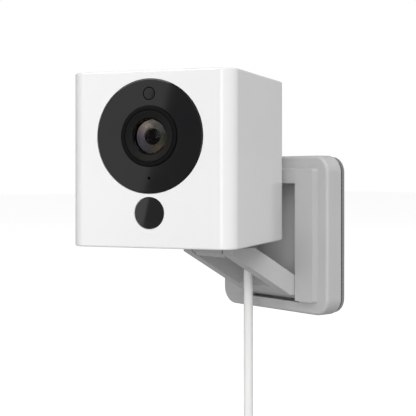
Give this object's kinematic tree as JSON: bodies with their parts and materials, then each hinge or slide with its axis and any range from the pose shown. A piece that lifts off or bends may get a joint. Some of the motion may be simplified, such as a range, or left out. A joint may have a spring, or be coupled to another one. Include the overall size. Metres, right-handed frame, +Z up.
{
  "type": "cube camera on a folding wall stand",
  "caption": "Small white cube camera with a round black lens window, on a grey hinged arm and wall base, with its USB lead hanging down.",
  "frame": {"origin": "centre of the adhesive pad's wall face", "axes": "+Y into the wall, +Z up, the object stands out towards -Y"},
  "size_m": [0.0765, 0.0786, 0.192],
  "materials": {
    "white_plastic": "white glossy moulded plastic",
    "grey_plastic": "light grey satin moulded plastic",
    "black_gloss": "glossy black tinted window",
    "black_matte": "matte black plastic",
    "lens_glass": "dark coated glass",
    "circuit_board": "green solder resist",
    "chip": "moulded black chip package",
    "steel": "bright plated steel",
    "lamp": "clear moulded lamp lens",
    "foam": "white foam tape",
    "cord": "white flexible jacket, satin",
    "tie": "black woven tie"
  },
  "bodies": {
    "base": {"adhesive_pad": "foam", "wall_plate": "steel", "base_frame": "grey_plastic", "magnet_left": "steel", "magnet_right": "steel", "hinge_washer_left": "steel", "hinge_washer_right": "steel", "lower_hinge_pin": "steel", "cord_lower": "cord", "cord_coil": "cord", "cord_tie": "tie", "cord_tail": "cord", "usb_strain_relief": "cord", "usb_a_plug": "cord", "usb_a_plug_shell": "steel"},
    "arm": {"arm": "grey_plastic", "upper_hinge_pin": "steel"},
    "foot": {"swivel_foot": "grey_plastic", "swivel_washer": "steel", "swivel_screw": "steel"},
    "head": {"front_shell": "white_plastic", "rear_cover": "white_plastic", "face_disc": "black_gloss", "lens_ring": "black_matte", "lens_bezel": "black_matte", "lens_glass": "lens_glass", "lens_barrel": "black_matte", "lens_holder": "black_matte", "image_sensor": "chip", "sensor_board": "circuit_board", "lamp_board": "circuit_board", "infrared_lamp_1": "lamp", "infrared_lamp_2": "lamp", "infrared_lamp_3": "lamp", "infrared_lamp_4": "lamp", "light_sensor": "black_gloss", "microphone": "steel", "status_window": "black_gloss", "status_lamp": "lamp", "main_board": "circuit_board", "board_screw_1": "steel", "board_screw_2": "steel", "micro_usb_socket": "steel", "usb_a_socket": "steel", "card_slot": "steel", "tact_switch": "chip", "speaker": "black_matte", "antenna": "circuit_board", "micro_usb_plug": "cord", "plug_strain_relief": "cord", "cord_upper": "cord"},
    "button": {"setup_button": "grey_plastic"}
  },
  "joints": [
    {"name": "arm_hinge", "type": "hinge", "parent": "base", "child": "arm", "pos_m": [0, -0.0069, -0.0179], "axis": [1, 0, 0], "range_deg": [0, 30]},
    {"name": "head_tilt", "type": "hinge", "parent": "arm", "child": "foot", "pos_m": [0, -0.0337, -0.005], "axis": [1, 0, 0], "range_deg": [0, 60]},
    {"name": "head_swivel", "type": "hinge", "parent": "foot", "child": "head", "pos_m": [0, -0.04556, -0.0017], "axis": [0, 0, 1], "range_deg": [-60, 60], "deforming": ["cord_upper"]},
    {"name": "button_press", "type": "slide", "parent": "head", "child": "button", "axis": [0, 0, 1], "range_m": [0, 0.0004], "stiffness_N_per_m": 800, "springref_m": -0.0002}
  ]
}
